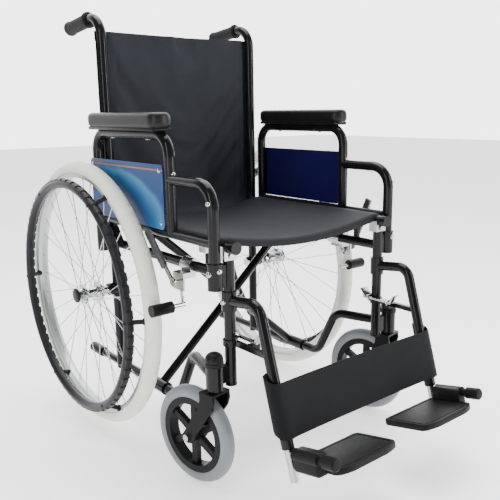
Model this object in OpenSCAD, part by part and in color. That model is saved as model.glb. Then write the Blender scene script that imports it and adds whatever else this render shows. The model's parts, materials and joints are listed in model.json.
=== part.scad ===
// Folding manual wheelchair with large rear wheels, swivelling casters and swing-away footrests.
// The chair faces -Y. The chair's left side is +X. The floor is Z = 0.
// Most parts are drawn for the left side and mirrored for the right.

/* [Frame] */
// Distance of each side frame's tubes from the middle of the chair
frame_x = 209; // [200:1:215]
// Radius of the posts and the push handle tubes
post_r = 11; // [10.9:0.05:11.1]
// Radius of the rails, which are a thinner tube than the posts
rail_r = 10.6; // [10:0.1:10.8]
// Height of the lower rail above the floor
lower_rail_z = 114; // [110:1:118]
// Height of the upper side rail above the floor
upper_rail_z = 418; // [412:1:422]
// Height of the seat rails, which lie in saddles above the side rails
seat_rail_z = 474; // [472:1:478]
// Height of the push handle where the back post bends to it
handle_z = 926; // [900:1:940]
// How far the push handle reaches behind the rear axle
handle_reach = 159; // [150:1:170]
// How far the front post stands ahead of the rear axle
front_post_y = 449; // [447:1:451]

/* [Wheels] */
// Outer radius of the rear tyre
rear_wheel_r = 305; // [303:1:306]
// Distance of the rear wheel's middle from the middle of the chair
rear_track_x = 280; // [279:1:282]
// Distance of the handrim's middle from the middle of the chair
handrim_x = 321; // [319:1:324]
// Number of spokes in a rear wheel, a multiple of eight
spoke_count = 32; // [24:8:32]
// Outer radius of the caster tyre
caster_r = 99; // [97:1:99]
// Distance of the caster's swivel axis from the middle of the chair
caster_x = 250; // [249:1:252]
// Distance from the swivel axis back to the caster's axle
caster_trail = 56; // [52:1:57]
// Angle that both casters are turned to
caster_turn = 10; // [0:1:15]

/* [Footrests] */
// How far the front end of the footplate's pivot reaches ahead of the rear axle
front_reach = 731; // [730:1:735]
// Distance of the footplate's inner edge from the middle of the chair
plate_inner_x = 39; // [38:1:45]

/* [Armrests] */
// Distance of the armrest tubes from the middle of the chair
arm_x = 240; // [239.5:0.5:240.5]
// Height of the armrest's top tube
arm_top_z = 674; // [668:1:678]
// Length of the armrest pad
pad_length = 296; // [286:1:326]
// Width of the armrest pad
pad_width = 50; // [44:1:52]

/* [Hidden] */
$fn = 32;

running_gap = 0.05;     // radial clearance of a shaft that turns or slides in a bore
soft_gap = 0.4;         // space between a soft part and its neighbours
axle_y = (front_reach - rear_wheel_r) / 2; // the chair's length is centred on Y = 0
axle_z = rear_wheel_r;

bend_r = 35;            // centre line radius of the rails' bends
lap_angle = 1.5;        // a bend runs this far into the straight lengths beside it
handle_bend_r = 45;
handle_drop = 16;       // the push handle slopes down towards its end
goose_z = 229;          // height of the gooseneck where it reaches the caster housing
goose_low_y = -262;     // where the lower rail turns up
goose_high_y = -322;
tipper_end_y = 118;     // end of the tipping lever's tube, behind the axle
tipper_r = 9;

housing_r = 16.5;
housing_z = [206, 256];
stem_r = 8;
caster_y = -452;

arm_r = 11;
arm_rear_y = -8;
arm_front_y = -310;
arm_low_z = 482;
arm_ext_z = 589;
socket_r = 14;
front_socket_z = [397, 446];
rear_socket_z = [404, 464];
arm_bend_r = 42;

axle_r = 6;
axle_sleeve_x = [194, 233];
hub_x = [248, 313];
tyre_r = 17;            // radius of the tyre's round section
rim_seat_r = rear_wheel_r - 2 * tyre_r + 10;
rim_inner_r = rim_seat_r - 13;
rim_half = 12;
handrim_r = 258;
handrim_tube_r = 11;

brace_span = 2 * frame_x;
brace_rise = seat_rail_z - lower_rail_z;
brace_length = sqrt(brace_span * brace_span + brace_rise * brace_rise);
brace_lean = atan(brace_span / brace_rise);
brace_r = 10;
brace_y = -170;         // middle of the scissor between its two braces
brace_offset = 12.5;    // each brace stands this far to one side of the middle
sleeve_half = 34;
seat_rail_front_y = -463;
seat_rail_back_y = -26;
back_cloth_z = [455, handle_z - 50]; // ends where the posts start to bend back

clamp_y = -322;
lever_pivot = [-330, 392];  // Y and Z of the brake lever's pin
arm_pivot = [-318, 385];    // Y and Z of the shoe arm's pin
shoe_at = [-326.5, 341];    // Y and Z of the brake roller when released
lever_x = [arm_x + 14.6, arm_x + 18.2];
brake_pin_r = 3;
lever_travel = 66;      // degrees from released to engaged
shoe_ratio = 0.21;      // the shoe arm turns this much of the lever's angle

hanger_path = [[frame_x, -front_post_y - 6, 371], [frame_x - 1, -534, 381], [frame_x - 3, -608.5, 134]];

function unit(v) = v / norm(v);

hanger_dir = unit(hanger_path[2] - hanger_path[1]);
footrest_top = hanger_path[1] + hanger_dir * 178;
footrest_end = hanger_path[1] + hanger_dir * 318;
plate_pivot = hanger_path[1] + hanger_dir * 266;
bracket_z = 286;        // underside of the hanger's lower bracket, clear of the caster's cap
latch_z = bracket_z + 10.3;
plate_tilt = 13;        // the footplate's toe is higher than its heel
plate_pin_r = 5;
knob_r = 12;
knob_end = (front_reach + plate_pivot.y - knob_r * sin(plate_tilt)) / cos(plate_tilt);
plate_back = plate_inner_x - plate_pivot.x;  // X of the plate's inner edge from its pin

// A straight round bar between two points.
module rod(p, q, r) {
    v = q - p;
    translate(p)
        rotate([0, acos(v.z / norm(v)), atan2(v.y, v.x)])
            cylinder(h = norm(v), r = r);
}

// Moves a shape so that its X, Y and Z directions become the three given ones.
module oriented(origin, dx, dy, dz) {
    multmatrix([
        [dx.x, dy.x, dz.x, origin.x],
        [dx.y, dy.y, dz.y, origin.y],
        [dx.z, dy.z, dz.z, origin.z],
        [0, 0, 0, 1]
    ])
        children();
}

// How much a bend at point i of a path takes off the straight lengths beside it.
function bend_cut(points, i, r) =
    i == 0 || i == len(points) - 1 ? 0 :
    let (a = unit(points[i] - points[i - 1]), b = unit(points[i + 1] - points[i]))
        r * tan(acos(a * b) / 2);

// A bent tube along a path, with the same bend radius at each inner point.
module bent_tube(points, tube_r, bend) {
    last = len(points) - 1;
    for (i = [0 : last - 1]) {
        along = unit(points[i + 1] - points[i]);
        rod(
            points[i] + along * bend_cut(points, i, bend),
            points[i + 1] - along * bend_cut(points, i + 1, bend),
            tube_r
        );
    }
    for (i = [1 : last - 1]) {
        before = unit(points[i] - points[i - 1]);
        after = unit(points[i + 1] - points[i]);
        inward = unit(after - (after * before) * before);
        start = points[i] - before * bend_cut(points, i, bend);
        oriented(start + inward * bend, -inward, before, cross(-inward, before))
            rotate([0, 0, -lap_angle])
                rotate_extrude(angle = acos(before * after) + 2 * lap_angle)
                    translate([bend, 0])
                        circle(tube_r - 0.04);
    }
}

// A cylinder along X from one x to another, at a given Y and Z.
module x_cyl(x, y, z, r) {
    translate([x[0], y, z])
        rotate([0, 90, 0])
            cylinder(h = x[1] - x[0], r = r);
}

// A cylinder along Y from one y to another, at a given X and Z.
module y_cyl(x, y, z, r) {
    translate([x, y[1], z])
        rotate([90, 0, 0])
            cylinder(h = y[1] - y[0], r = r);
}

// A box between two corners.
module block(low, high) {
    translate(low)
        cube(high - low);
}

// A solid turned about the X axis, from a profile of [x, radius] points.
module turned_x(profile) {
    rotate([0, 90, 0])
        rotate_extrude($fn = 96)
            polygon([for (p = profile) [p[1], p[0]]]);
}

// Draws one side's shape, mirrored for the right side, in the row's frame.
module side(name) {
    right = name[len(name) - 1] == "t" && name[len(name) - 2] == "h";
    translate([0, axle_y, 0])
        mirror([right ? 1 : 0, 0, 0])
            children();
}

module chair() {
    translate([0, axle_y, 0])
        children();
}

/* Side frame */

module gusset_plate() {
    // web above the upper rail at the back post, with a round hole
    translate([frame_x + 7, 0, 0])
        rotate([90, 0, 90])
            linear_extrude(4)
                difference() {
                    polygon([[-4, upper_rail_z - 4], [-72, upper_rail_z - 4], [-40, 460], [-4, 460]]);
                    translate([-36, 444])
                        circle(5);
                }
}

module frame_solids() {
    // back post and push handle in one length
    bent_tube(
        [
            [frame_x, 0, lower_rail_z - rail_r - 0.6],
            [frame_x, 0, handle_z],
            [frame_x, handle_reach - 6, handle_z - handle_drop * (handle_reach - 6) / handle_reach]
        ],
        post_r, handle_bend_r
    );
    // lower rail, gooseneck and reach to the caster housing
    bent_tube(
        [
            [frame_x, 0, lower_rail_z], [frame_x, goose_low_y, lower_rail_z],
            [frame_x, goose_high_y, goose_z], [caster_x, caster_y, goose_z]
        ],
        rail_r, bend_r
    );
    rod([frame_x, 0, upper_rail_z], [frame_x, -front_post_y, upper_rail_z], rail_r);
    rod([frame_x, -front_post_y, 209], [frame_x, -front_post_y, 450], post_r);
    rod([frame_x, 0, lower_rail_z], [frame_x, tipper_end_y, lower_rail_z], tipper_r);
    translate([caster_x, caster_y, housing_z[0]])
        cylinder(h = housing_z[1] - housing_z[0], r = housing_r);
    block([frame_x, caster_y - 4, 214], [caster_x, caster_y + 8, 248]);
    gusset_plate();
    // armrest sockets and the plates that carry them
    translate([arm_x, -front_post_y, front_socket_z[0]])
        cylinder(h = front_socket_z[1] - front_socket_z[0], r = socket_r);
    translate([arm_x, arm_rear_y, rear_socket_z[0]])
        cylinder(h = rear_socket_z[1] - rear_socket_z[0], r = socket_r);
    block([frame_x, -front_post_y - 5, 400], [arm_x, -front_post_y + 5, 442]);
    block([frame_x, arm_rear_y - 5, 408], [arm_x, arm_rear_y + 5, 460]);
    x_cyl(axle_sleeve_x, 0, axle_z, 14.5);
    // collars that keep the brace's sleeve in its place along the rail
    for (y = [brace_y - sleeve_half - 5.4, brace_y + sleeve_half + 0.4])
        y_cyl(frame_x, [y, y + 5], lower_rail_z, rail_r + 4);
    // rest for the seat rail behind the front post
    block([frame_x - 4, -392, upper_rail_z], [frame_x + 4, -380, seat_rail_z - 19]);
}

module side_frame() {
    color("#151516")
        difference() {
            frame_solids();
            translate([caster_x, caster_y, housing_z[0] - 1])
                cylinder(h = 48, r = stem_r + running_gap);
            translate([arm_x, -front_post_y, 390])
                cylinder(h = 60, r = arm_r + running_gap);
            translate([arm_x, arm_rear_y, 390])
                cylinder(h = 80, r = arm_r + running_gap);
            x_cyl([190, 240], 0, axle_z, axle_r + 0.03);
        }
}

module push_grip() {
    slope = [0, handle_reach, -handle_drop];
    along = unit(slope);
    knee = [frame_x, 0, handle_z];
    tube_end = knee + along * norm(slope) * (handle_reach - 6) / handle_reach;
    start = knee + along * 56;
    color("#1c1d20")
        difference() {
            union() {
                rod(start, tube_end + along * 6, 15.5);
                rod(start, start + along * 5, 18);
            }
            rod(start - along * 2, tube_end + along * 0.2, post_r + 0.05);
        }
}

module frame_caps() {
    color("#202124") {
        // rubber foot of the tipping lever
        difference() {
            y_cyl(frame_x, [96, 152], lower_rail_z, 12.5);
            y_cyl(frame_x, [90, tipper_end_y + 0.2], lower_rail_z, tipper_r + 0.05);
        }
        // plug in the lower end of the front post
        translate([frame_x, -front_post_y, 204.2])
            cylinder(h = 4.7, r = post_r + 0.3);
        // dust cap of the caster housing
        translate([caster_x, caster_y, housing_z[1] + 0.1])
            rotate_extrude()
                polygon(concat(
                    [[0, 0], [18, 0], [18.4, 1], [18.4, 4.5], [17.4, 6], [17.4, 11]],
                    [for (a = [15 : 15 : 90]) [17.4 * cos(a), 11 + 14 * sin(a)]]
                ));
    }
}

module rear_axle() {
    color("silver") {
        x_cyl([axle_sleeve_x[0] - 2, hub_x[1] - 4], 0, axle_z, axle_r);
        // bolt head on the inner side
        translate([axle_sleeve_x[0] - 9, 0, axle_z])
            rotate([0, 90, 0])
                cylinder(h = 7.05, r = 11, $fn = 6);
        // washer and spacer between the frame and the wheel's inner bearing
        difference() {
            x_cyl([axle_sleeve_x[1] + 0.05, hub_x[0] + 1.9], 0, axle_z, 9.4);
            x_cyl([axle_sleeve_x[1] - 1, hub_x[0] + 3], 0, axle_z, axle_r + 0.03);
        }
    }
}

module rail_saddle() {
    // bright clip on top of the front post, open at the top so that the seat rail lifts out
    color("silver")
        difference() {
            union() {
                block([frame_x - 15, -front_post_y - 9, 450], [frame_x + 15, -front_post_y + 13, 476]);
                y_cyl(frame_x, [-front_post_y - 12.5, -front_post_y], 458, 5.5);
            }
            y_cyl(frame_x, [-front_post_y - 30, -front_post_y + 30], seat_rail_z, rail_r + 0.4);
            block(
                [frame_x - rail_r - 0.4, -front_post_y - 30, seat_rail_z],
                [frame_x + rail_r + 0.4, -front_post_y + 30, seat_rail_z + 20]
            );
        }
    // black plastic saddle on the stub behind it
    color("#1a1a1c")
        difference() {
            block([frame_x - 15, -396, seat_rail_z - 19], [frame_x + 15, -376, seat_rail_z + 2]);
            y_cyl(frame_x, [-400, -370], seat_rail_z, rail_r + 0.4);
            block(
                [frame_x - rail_r - 0.4, -400, seat_rail_z],
                [frame_x + rail_r + 0.4, -370, seat_rail_z + 20]
            );
        }
}

/* Rear wheel */

module wheel_hub() {
    color("silver")
        translate([0, 0, axle_z])
            difference() {
                turned_x([
                    [hub_x[0], 7.2], [hub_x[0], 15], [hub_x[0] + 8, 16], [hub_x[0] + 8, 23],
                    [hub_x[0] + 11.5, 23], [hub_x[0] + 13, 15], [hub_x[0] + 18, 12],
                    [hub_x[1] - 26, 12], [hub_x[1] - 20, 15], [hub_x[1] - 18.5, 23],
                    [hub_x[1] - 15, 23], [hub_x[1] - 15, 16.5], [hub_x[1] - 3, 16],
                    [hub_x[1], 12], [hub_x[1], 0], [hub_x[1] - 2, 0], [hub_x[1] - 2, 7.2]
                ]);
                x_cyl([hub_x[0] - 1, hub_x[0] + 10], 0, 0, 12.03);
                x_cyl([hub_x[1] - 16, hub_x[1] - 6], 0, 0, 12.03);
            }
}

module hub_bearings() {
    color("gray")
        for (x = [hub_x[0] + 2, hub_x[1] - 14])
            difference() {
                x_cyl([x, x + 8], 0, axle_z, 12);
                x_cyl([x - 1, x + 9], 0, axle_z, axle_r + running_gap);
            }
}

module rim() {
    color("#b9bcc0")
        translate([rear_track_x, 0, axle_z])
            turned_x([
                [-rim_half, rim_inner_r + 3], [-5, rim_inner_r], [5, rim_inner_r], [rim_half, rim_inner_r + 3],
                [rim_half, rim_seat_r + 2], [rim_half - 2, rim_seat_r + 2],
                [rim_half - 2, rim_seat_r - 6], [2 - rim_half, rim_seat_r - 6],
                [2 - rim_half, rim_seat_r + 2], [-rim_half, rim_seat_r + 2]
            ]);
}

module tyre() {
    foot = rim_half - 2.2;
    color("#e8e8dc")
        translate([rear_track_x, 0, axle_z])
            rotate([0, 90, 0])
                rotate_extrude($fn = 96)
                    union() {
                        intersection() {
                            translate([rear_wheel_r - tyre_r, 0])
                                circle(tyre_r, $fn = 64);
                            translate([rim_seat_r + 2.2, -tyre_r])
                                square([2 * tyre_r, 2 * tyre_r]);
                        }
                        translate([rim_seat_r - 5.8, -foot])
                            square([14, 2 * foot]);
                    }
}

module spokes() {
    per_flange = spoke_count / 2;
    step = 360 / per_flange;
    color("#c8cacc")
        for (flange = [0, 1])
            for (i = [0 : per_flange - 1]) {
                hub_angle = (i + flange / 2) * step;
                lean = i % 2 == 0 ? 45 : -45;
                flange_x = flange == 0 ? hub_x[0] + 9.7 : hub_x[1] - 16.7;
                x = flange_x + (i % 2 == 0 ? 2.4 : -2.4);
                rod(
                    [x, 20.5 * cos(hub_angle), axle_z + 20.5 * sin(hub_angle)],
                    [
                        rear_track_x + (flange == 0 ? -2.5 : 2.5),
                        (rim_inner_r + 1.5) * cos(hub_angle + lean),
                        axle_z + (rim_inner_r + 1.5) * sin(hub_angle + lean)
                    ],
                    1
                );
            }
}

module handrim() {
    color("#232428") {
        translate([handrim_x, 0, axle_z])
            rotate([0, 90, 0])
                rotate_extrude($fn = 96)
                    translate([handrim_r, 0])
                        circle(handrim_tube_r);
        for (a = [30 : 60 : 330])
            translate([0, 0, axle_z])
                rotate([a, 0, 0])
                    rod(
                        [rear_track_x + rim_half + 0.05, 0, rim_inner_r + 8],
                        [handrim_x - 6, 0, handrim_r + 3], 5
                    );
    }
}

/* Caster, drawn about its own swivel axis with the wheel trailing to the back */

module at_caster(name) {
    right = name == "right";
    translate([(right ? -1 : 1) * caster_x, axle_y + caster_y, 0])
        rotate([0, 0, caster_turn])
            children();
}

module fork_leg() {
    // flat leg in the Y-Z plane, wide at the crown and narrow at the axle
    linear_extrude(4.5)
        difference() {
            union() {
                polygon([
                    [-15, 203], [-17, 188], [-12, 172], [44, 93], [62, 87],
                    [68, 104], [22, 172], [19, 188], [19, 203]
                ]);
                translate([caster_trail, caster_r])
                    circle(12);
            }
            translate([caster_trail, caster_r])
                circle(4.05);
        }
}

module caster_fork() {
    color("#18191b") {
        block([-23.5, -16, 199], [23.5, 20, 203.5]);
        translate([0, 0, 203])
            cylinder(h = 49, r = stem_r);
        for (x = [-23.5, 19])
            translate([x, 0, 0])
                rotate([90, 0, 90])
                    fork_leg();
    }
    color("silver")
        translate([0, 0, 203.4])
            cylinder(h = 2.3, r = 14);
}

module caster_axle() {
    color("silver") {
        x_cyl([-25, 25], caster_trail, caster_r, 4);
        for (x = [-29, 23.6])
            translate([x, caster_trail, caster_r])
                rotate([0, 90, 0])
                    cylinder(h = 5.4, r = 7.5, $fn = 6);
    }
}

module caster_wheel() {
    rim_r = caster_r - 22;
    color("#1d1e20")
        translate([0, caster_trail, caster_r])
            difference() {
                union() {
                    turned_x([[-12, rim_r - 14], [-12, rim_r - 0.1], [12, rim_r - 0.1], [12, rim_r - 14]]);
                    x_cyl([-18, 18], 0, 0, 15);
                    for (a = [0 : 60 : 300])
                        rotate([a, 0, 0])
                            translate([-6, 0, 0])
                                rotate([90, 0, 90])
                                    linear_extrude(12)
                                        polygon([[-7.5, 8], [7.5, 8], [6.5, rim_r - 10], [-6.5, rim_r - 10]]);
                }
                x_cyl([-20, 20], 0, 0, 4 + running_gap);
            }
}

module caster_tyre() {
    color("#9aa0a6")
        translate([0, caster_trail, caster_r])
            rotate([0, 90, 0])
                rotate_extrude($fn = 96)
                    intersection() {
                        translate([caster_r - 14, 0])
                            circle(14, $fn = 64);
                        translate([caster_r - 22, -14])
                            square([22, 28]);
                    }
}

/* Armrest */

module armrest_tube() {
    color("#151516") {
        bent_tube(
            [
                [arm_x, arm_rear_y, rear_socket_z[0]], [arm_x, arm_rear_y, arm_top_z],
                [arm_x, arm_front_y, arm_top_z], [arm_x, arm_front_y, arm_low_z]
            ],
            arm_r, arm_bend_r
        );
        rod([arm_x, arm_rear_y, arm_low_z], [arm_x, -front_post_y, arm_low_z], 9);
        rod([arm_x, arm_front_y, arm_ext_z], [arm_x, -front_post_y + 46, arm_ext_z], 10.6);
        bent_tube(
            [
                [arm_x, -front_post_y + 60, arm_ext_z], [arm_x, -front_post_y, arm_ext_z],
                [arm_x, -front_post_y, front_socket_z[0]]
            ],
            arm_r, 45
        );
    }
}

module armrest_pad() {
    mid_y = (arm_rear_y + arm_front_y) / 2;
    end_y = pad_length / 2 - pad_width / 2;
    color("#1b1c1e")
        translate([arm_x + 5, mid_y, 681])
            difference() {
                union() {
                    cube_y = 2 * end_y;
                    translate([-pad_width / 2, -end_y, 0])
                        cube([pad_width, cube_y, 35]);
                    for (y = [-end_y, end_y])
                        translate([0, y, 0])
                            cylinder(h = 35, r = pad_width / 2);
                }
                y_cyl(-5, [-pad_length, pad_length], arm_top_z - 681, arm_r + 0.1);
            }
}

module side_panel() {
    color("#1f55b5")
        block([arm_x + arm_r + 0.1, -303, 490], [arm_x + arm_r + 1.5, 4, 617]);
}

/* Parking brake */

module brake_clamp() {
    color("silver")
        difference() {
            union() {
                y_cyl(frame_x, [clamp_y - 18, clamp_y + 18], upper_rail_z, rail_r + 4);
                block([frame_x, clamp_y - 18, 396], [arm_x, clamp_y + 18, 407]);
                block([frame_x, clamp_y - 18, 396], [frame_x + 9, clamp_y + 18, 412]);
                // upright plate that carries both pins
                block([arm_x - 4, -342, 372], [arm_x, -304, 407]);
                x_cyl([arm_x - 1, arm_x + 20], lever_pivot[0], lever_pivot[1], brake_pin_r);
                x_cyl([arm_x - 12, arm_x], arm_pivot[0], arm_pivot[1], brake_pin_r);
            }
            y_cyl(frame_x, [clamp_y - 20, clamp_y + 20], upper_rail_z, rail_r + 0.02);
        }
}

// Turns a part about the X axis through a pin.
module about_pin(pin, angle) {
    translate([0, pin[0], pin[1]])
        rotate([angle, 0, 0])
            children();
}

module brake_lever(engaged) {
    color("silver")
        about_pin(lever_pivot, engaged * lever_travel)
            difference() {
                union() {
                    x_cyl(lever_x, 0, 0, 9);
                    translate([lever_x[0], 0, 0])
                        rotate([46, 0, 0])
                            translate([0, 0, -5])
                                cube([lever_x[1] - lever_x[0], 122, 10]);
                }
                x_cyl([arm_x + 10, arm_x + 22], 0, 0, brake_pin_r + running_gap);
            }
}

module brake_grip(engaged) {
    color("#3a3c41")
        about_pin(lever_pivot, engaged * lever_travel)
            difference() {
                translate([arm_x + 13.4, 0, 0])
                    rotate([46, 0, 0])
                        translate([0, 36, -8])
                            cube([9.2, 91, 16]);
                translate([lever_x[0], 0, 0])
                    rotate([46, 0, 0])
                        translate([-0.05, -1, -5.05])
                            cube([lever_x[1] - lever_x[0] + 0.1, 123.2, 10.1]);
            }
}

module brake_arm(engaged) {
    reach = shoe_at - arm_pivot;
    color("silver")
        about_pin(arm_pivot, engaged * lever_travel * shoe_ratio)
            difference() {
                union() {
                    x_cyl([arm_x - 10, arm_x - 5], 0, 0, 9);
                    rod([arm_x - 7.5, 0, 0], [arm_x - 7.5, reach[0], reach[1]], 3.2);
                    x_cyl([arm_x - 12, rear_track_x + 24], reach[0], reach[1], 4.5);
                }
                x_cyl([arm_x - 14, arm_x - 1], 0, 0, brake_pin_r + running_gap);
            }
}

module brake_roller(engaged) {
    reach = shoe_at - arm_pivot;
    color("#222326")
        about_pin(arm_pivot, engaged * lever_travel * shoe_ratio)
            difference() {
                x_cyl([rear_track_x - 21, rear_track_x + 26], reach[0], reach[1], 12);
                x_cyl([rear_track_x - 30, rear_track_x + 24.1], reach[0], reach[1], 4.55);
            }
}

/* Footrests */

module hanger() {
    color("#151516")
        difference() {
            union() {
                bent_tube(hanger_path, rail_r, 28);
                // upper and lower collars that turn on the front post
                translate([frame_x, -front_post_y, 352])
                    cylinder(h = 38, r = post_r + 3.5);
                translate([frame_x, -front_post_y, bracket_z - 2])
                    cylinder(h = 12, r = post_r + 3.5);
                block([frame_x - 7, -568, bracket_z], [frame_x + 2, -front_post_y - 10, bracket_z + 10]);
                // clamp at the lower end of the tube
                rod(hanger_path[2] - hanger_dir * 18, hanger_path[2], rail_r + 1.2);
                // ear that holds the latch's pin
                block([frame_x - 25, -507, bracket_z], [frame_x - 5, -493, bracket_z + 10]);
                translate([frame_x - 18, -500, bracket_z + 5])
                    cylinder(h = 12, r = 3);
            }
            translate([frame_x, -front_post_y, 275])
                cylinder(h = 125, r = post_r + running_gap);
            rod(footrest_top - hanger_dir * 3, footrest_end, 8.05);
        }
}

module hanger_latch() {
    // sprung release lever on the hanger's lower bracket
    color("silver")
        difference() {
            union() {
                translate([frame_x - 18, -500, latch_z])
                    cylinder(h = 5, r = 8);
                block([frame_x - 22, -500, latch_z], [frame_x - 15, -438, latch_z + 4]);
                block([frame_x - 24, -444, latch_z], [frame_x - 13, -430, latch_z + 8]);
            }
            translate([frame_x - 18, -500, latch_z - 5])
                cylinder(h = 20, r = 3 + running_gap);
        }
}

module footrest_tube() {
    // sliding tube with the footplate's pivot pin at its foot
    pin_dir = [0, -cos(plate_tilt), sin(plate_tilt)];
    color("silver") {
        rod(footrest_top, footrest_end, 8);
        rod(plate_pivot, plate_pivot + pin_dir * 100, plate_pin_r);
    }
}

module footplate() {
    // drawn level about its pivot pin, then tilted toe up
    color("#1c1d1f")
        translate(plate_pivot)
            rotate([-plate_tilt, 0, 0]) {
                difference() {
                    union() {
                        translate([0, 0, -28])
                            linear_extrude(13)
                                polygon([
                                    [-8, -12], [plate_back + 12, -6], [plate_back + 3, -9], [plate_back, -17],
                                    [plate_back - 1, -96], [plate_back + 7, -106], [-118, -114],
                                    [-60, -116], [-18, -111], [-10, -103]
                                ]);
                        y_cyl(0, [-80, -14], 0, 11.5);
                        block([-21, -80, -29], [9, -14, 2]);
                    }
                    y_cyl(0, [-120, 20], 0, plate_pin_r + running_gap);
                }
                // round knob on the front of the pin
                difference() {
                    y_cyl(0, [-knob_end, -80.4], 0, knob_r);
                    y_cyl(0, [-100.4, -70], 0, plate_pin_r + running_gap);
                }
            }
}

/* Folding scissor */

// A brace that leans from its sleeve on the lower rail up to the opposite seat rail.
module cross_brace(y) {
    color("#151516")
        difference() {
            union() {
                rod([-frame_x, y, lower_rail_z], [frame_x, y, seat_rail_z], brace_r);
                y_cyl(-frame_x, [brace_y - sleeve_half, brace_y + sleeve_half], lower_rail_z, rail_r + 3.4);
                y_cyl(frame_x, [seat_rail_front_y, seat_rail_back_y], seat_rail_z, rail_r);
            }
            y_cyl(
                -frame_x, [brace_y - sleeve_half - 1, brace_y + sleeve_half + 1],
                lower_rail_z, rail_r + running_gap
            );
            y_cyl(0, [brace_y - 60, brace_y + 60], (lower_rail_z + seat_rail_z) / 2, 4 + running_gap);
        }
    // black plugs in the ends of the seat rail
    color("#2a2b2e")
        for (y_end = [[seat_rail_front_y - 12, seat_rail_front_y - 0.1], [seat_rail_back_y + 0.1, seat_rail_back_y + 4]])
            y_cyl(frame_x, y_end, seat_rail_z, rail_r + 1.5);
}

module cross_brace_a() {
    cross_brace(brace_y - brace_offset);
}

module cross_brace_b() {
    mirror([1, 0, 0])
        cross_brace(brace_y + brace_offset);
}

module brace_bolt() {
    middle_z = (lower_rail_z + seat_rail_z) / 2;
    ends = brace_offset + brace_r;
    color("silver") {
        y_cyl(0, [brace_y - ends - 6, brace_y + ends + 6], middle_z, 4);
        for (y = [brace_y - ends - 6.4, brace_y + ends + 0.4])
            translate([0, y + 6, middle_z])
                rotate([90, 0, 0])
                    cylinder(h = 6, r = 7.5, $fn = 6);
    }
}

/* Upholstery */

module seat_sling() {
    color("#3c4048")
        block(
            [-frame_x - 8, seat_rail_front_y + 20, seat_rail_z + rail_r + soft_gap],
            [frame_x + 8, seat_rail_back_y - 2, seat_rail_z + rail_r + soft_gap + 6]
        );
}

module back_sling() {
    // flat cloth panel that hangs just behind the back posts
    color("#3a3e46")
        block(
            [-frame_x - 8, post_r + soft_gap, back_cloth_z[0]],
            [frame_x + 8, post_r + soft_gap + 6, back_cloth_z[1]]
        );
}

module calf_strap() {
    // band across the front of both hangers, leaning with their tubes
    low = hanger_path[1] + hanger_dir * 236;
    high = hanger_path[1] + hanger_dir * 137;
    out = rail_r + soft_gap + 1;
    color("#26282e")
        translate([-frame_x - 10, 0, 0])
            rotate([90, 0, 90])
                linear_extrude(2 * frame_x + 20)
                    polygon([
                        [low.y - out, low.z], [high.y - out, high.z],
                        [high.y - out - 5, high.z], [low.y - out - 5, low.z]
                    ]);
}

side("right") side_frame();  // side_frame_right
side("left") side_frame();  // side_frame_left
side("right") push_grip();  // push_grip_right
side("left") push_grip();  // push_grip_left
side("right") frame_caps();  // frame_caps_right
side("left") frame_caps();  // frame_caps_left
side("right") rear_axle();  // rear_axle_right
side("left") rear_axle();  // rear_axle_left
side("right") rail_saddle();  // rail_saddle_right
side("left") rail_saddle();  // rail_saddle_left
side("right") brake_clamp();  // brake_clamp_right
side("left") brake_clamp();  // brake_clamp_left
side("right") wheel_hub();  // wheel_hub_right
side("left") wheel_hub();  // wheel_hub_left
side("right") hub_bearings();  // hub_bearings_right
side("left") hub_bearings();  // hub_bearings_left
side("right") rim();  // rim_right
side("left") rim();  // rim_left
side("right") spokes();  // spokes_right
side("left") spokes();  // spokes_left
side("right") tyre();  // tyre_right
side("left") tyre();  // tyre_left
side("right") handrim();  // handrim_right
side("left") handrim();  // handrim_left
at_caster("right") caster_fork();  // caster_fork_right
at_caster("left") caster_fork();  // caster_fork_left
at_caster("right") caster_axle();  // caster_axle_right
at_caster("left") caster_axle();  // caster_axle_left
at_caster("right") caster_wheel();  // caster_wheel_right
at_caster("left") caster_wheel();  // caster_wheel_left
at_caster("right") caster_tyre();  // caster_tyre_right
at_caster("left") caster_tyre();  // caster_tyre_left
side("right") armrest_tube();  // armrest_tube_right
side("left") armrest_tube();  // armrest_tube_left
side("right") armrest_pad();  // armrest_pad_right
side("left") armrest_pad();  // armrest_pad_left
side("right") side_panel();  // side_panel_right
side("left") side_panel();  // side_panel_left
side("right") brake_lever(0);  // brake_lever_right
side("left") brake_lever(1);  // brake_lever_left
side("right") brake_grip(0);  // brake_grip_right
side("left") brake_grip(1);  // brake_grip_left
side("right") brake_arm(0);  // brake_arm_right
side("left") brake_arm(1);  // brake_arm_left
side("right") brake_roller(0);  // brake_roller_right
side("left") brake_roller(1);  // brake_roller_left
side("right") hanger();  // hanger_right
side("left") hanger();  // hanger_left
side("right") hanger_latch();  // hanger_latch_right
side("left") hanger_latch();  // hanger_latch_left
side("right") footrest_tube();  // footrest_tube_right
side("left") footrest_tube();  // footrest_tube_left
side("right") footplate();  // footplate_right
side("left") footplate();  // footplate_left
chair() cross_brace_a();
chair() cross_brace_b();
chair() brace_bolt();
chair() seat_sling();
chair() back_sling();
chair() calf_strap();
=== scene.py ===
import json
import math
import bpy
import bmesh
from mathutils import Matrix, Vector


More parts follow.
